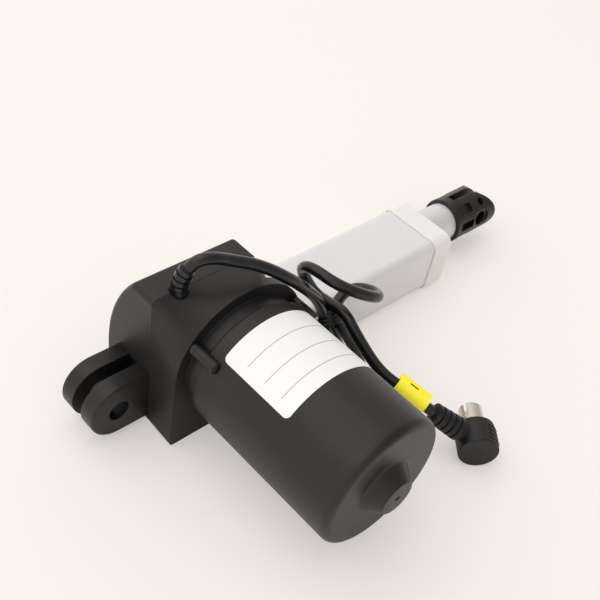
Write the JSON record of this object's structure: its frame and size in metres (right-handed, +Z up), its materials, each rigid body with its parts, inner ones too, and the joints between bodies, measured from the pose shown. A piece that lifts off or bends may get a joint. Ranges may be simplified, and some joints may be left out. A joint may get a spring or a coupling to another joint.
{
  "type": "bed linear actuator",
  "caption": "Linear actuator for an adjustable bed: side motor on a gearbox, square outer tube, sliding rod with slotted fork, rear clevis and a tied lead with plug.",
  "frame": {"origin": "centre of the rear clevis's pivot bore", "axes": "+X along the rod to the front pivot, +Y along the rear pivot bore away from the motor, +Z up"},
  "size_m": [0.3318, 0.1752, 0.1135],
  "materials": {
    "housing_plastic": "satin black moulded plastic",
    "cover_plastic": "smooth satin black moulded plastic",
    "clevis_paint": "satin black coated casting",
    "tube_aluminium": "matte anodised aluminium",
    "cap_white": "matte white plastic",
    "rod_grey": "light grey coated steel tube",
    "fork_plastic": "satin black glass-filled plastic",
    "label_white": "bare white film",
    "screw_steel": "zinc-plated steel",
    "screw_shaft": "rolled steel, greased",
    "shaft_steel": "ground steel",
    "bearing_steel": "polished bearing steel",
    "can_paint": "zinc-plated drawn steel",
    "plate_alloy": "die-cast alloy",
    "bush_brass": "sintered bronze",
    "magnet_iron": "dark ferrite",
    "core_iron": "laminated steel",
    "copper": "enamelled copper",
    "wheel_brass": "cut bronze",
    "nut_plastic": "natural acetal",
    "guide_plastic": "natural acetal",
    "card_plastic": "phenolic board",
    "brush_carbon": "carbon",
    "strip_green": "green circuit board",
    "switch_plastic": "black plastic",
    "seal_rubber": "black rubber",
    "cord_black": "black cable jacket",
    "tie_black": "black coated wire tie",
    "flag_yellow": "yellow film",
    "plug_black": "black overmould",
    "plug_metal": "nickel-plated steel",
    "insert_plastic": "black plastic",
    "pin_metal": "plated brass"
  },
  "bodies": {
    "base": {"housing_near": "housing_plastic", "housing_far": "housing_plastic", "housing_screws": "screw_steel", "rear_clevis": "clevis_paint", "rear_bearing": "bearing_steel", "front_bearing": "bearing_steel", "motor_cover": "cover_plastic", "motor_cover_screws": "screw_steel", "motor_gasket": "seal_rubber", "motor_label": "label_white", "motor_can": "can_paint", "motor_front_plate": "plate_alloy", "motor_front_bearing": "bearing_steel", "motor_end_bearing": "bearing_steel", "worm_end_bush": "bush_brass", "motor_magnets": "magnet_iron", "brush_card": "card_plastic", "motor_brushes": "brush_carbon", "outer_tube": "tube_aluminium", "tube_screws": "screw_steel", "front_cap": "cap_white", "guide_bush": "guide_plastic", "rod_wiper": "seal_rubber", "limit_strip": "strip_green", "limit_switches": "switch_plastic", "strain_relief": "cord_black", "cord_lead": "cord_black", "cord_hank": "cord_black", "cord_tail": "cord_black", "cord_tie": "tie_black", "cord_flag": "flag_yellow", "plug_body": "plug_black", "plug_shell": "plug_metal", "plug_insert": "insert_plastic", "plug_pins": "pin_metal"},
    "rod": {"inner_tube": "rod_grey", "screw_nut": "nut_plastic", "rod_rivet": "screw_steel", "front_fork": "fork_plastic"},
    "spindle": {"lead_screw": "screw_shaft", "screw_lock_nut": "screw_steel", "screw_end_washer": "nut_plastic", "rear_inner_race": "bearing_steel", "front_inner_race": "bearing_steel", "worm_wheel": "wheel_brass"},
    "armature": {"armature_shaft": "shaft_steel", "armature_core": "core_iron", "armature_windings": "copper", "commutator": "copper", "worm": "shaft_steel"}
  },
  "joints": [
    {"name": "armature_spin", "type": "hinge", "parent": "base", "child": "armature", "pos_m": [0.0603, 0, 0.0282], "axis": [0, 1, 0], "range_deg": [0, 204120]},
    {"name": "spindle_spin", "type": "hinge", "parent": "base", "child": "spindle", "pos_m": [0, 0, 0], "axis": [1, 0, 0], "continuous": true},
    {"name": "rod_slide", "type": "slide", "parent": "base", "child": "rod", "axis": [1, 0, 0], "range_m": [0, 0.081]}
  ],
  "couplings": [
    {"joint": "spindle_spin", "follows": "armature_spin", "ratio": -0.035714},
    {"joint": "rod_slide", "follows": "armature_spin", "m_per_rad": 0.000022736}
  ]
}
